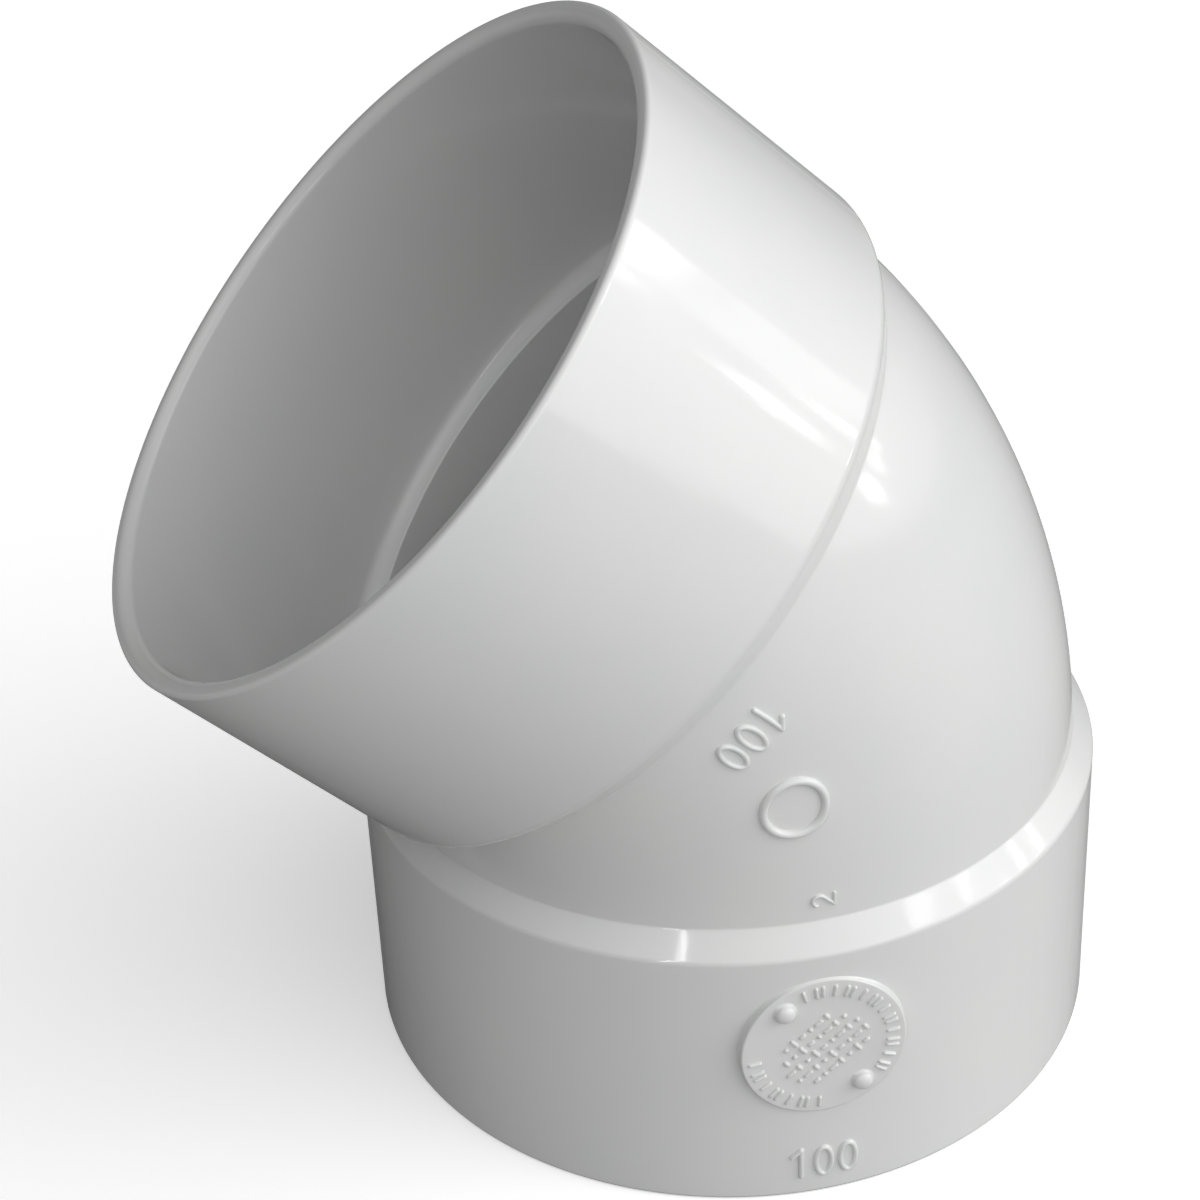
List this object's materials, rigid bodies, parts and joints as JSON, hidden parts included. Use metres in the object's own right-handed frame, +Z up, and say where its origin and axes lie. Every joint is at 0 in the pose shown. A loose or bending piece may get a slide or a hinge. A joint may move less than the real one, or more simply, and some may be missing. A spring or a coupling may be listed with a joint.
{
  "type": "pvc pipe elbow",
  "caption": "White PVC elbow turning a pipe run by 45 degrees, with a bevelled socket hub and pipe stop at each end and raised moulding marks on one side.",
  "frame": {"origin": "centre of the elbow's outline in X, on its plane of symmetry in Y, at the lower rim's plane in Z", "axes": "+Z up along the lower hub's axis, the upper hub leans towards -X in the XZ plane, and the raised marks face -Y"},
  "size_m": [0.1478, 0.1157, 0.1628],
  "materials": {
    "hub_pvc": "glossy injection-moulded white PVC",
    "body_pvc": "glossy injection-moulded white PVC",
    "mark_pvc": "raised moulded relief in the same white PVC",
    "roundel_pvc": "satin moulded plate in the same white PVC"
  },
  "bodies": {
    "root": {"lower_hub": "hub_pvc", "upper_hub": "hub_pvc", "bend_body": "body_pvc", "gate_ring": "mark_pvc", "roundel_plate": "roundel_pvc", "roundel_stud_upper": "mark_pvc", "roundel_stud_lower": "mark_pvc", "socket_size_mark": "mark_pvc", "bend_size_mark": "mark_pvc", "cavity_mark": "mark_pvc"}
  },
  "joints": []
}
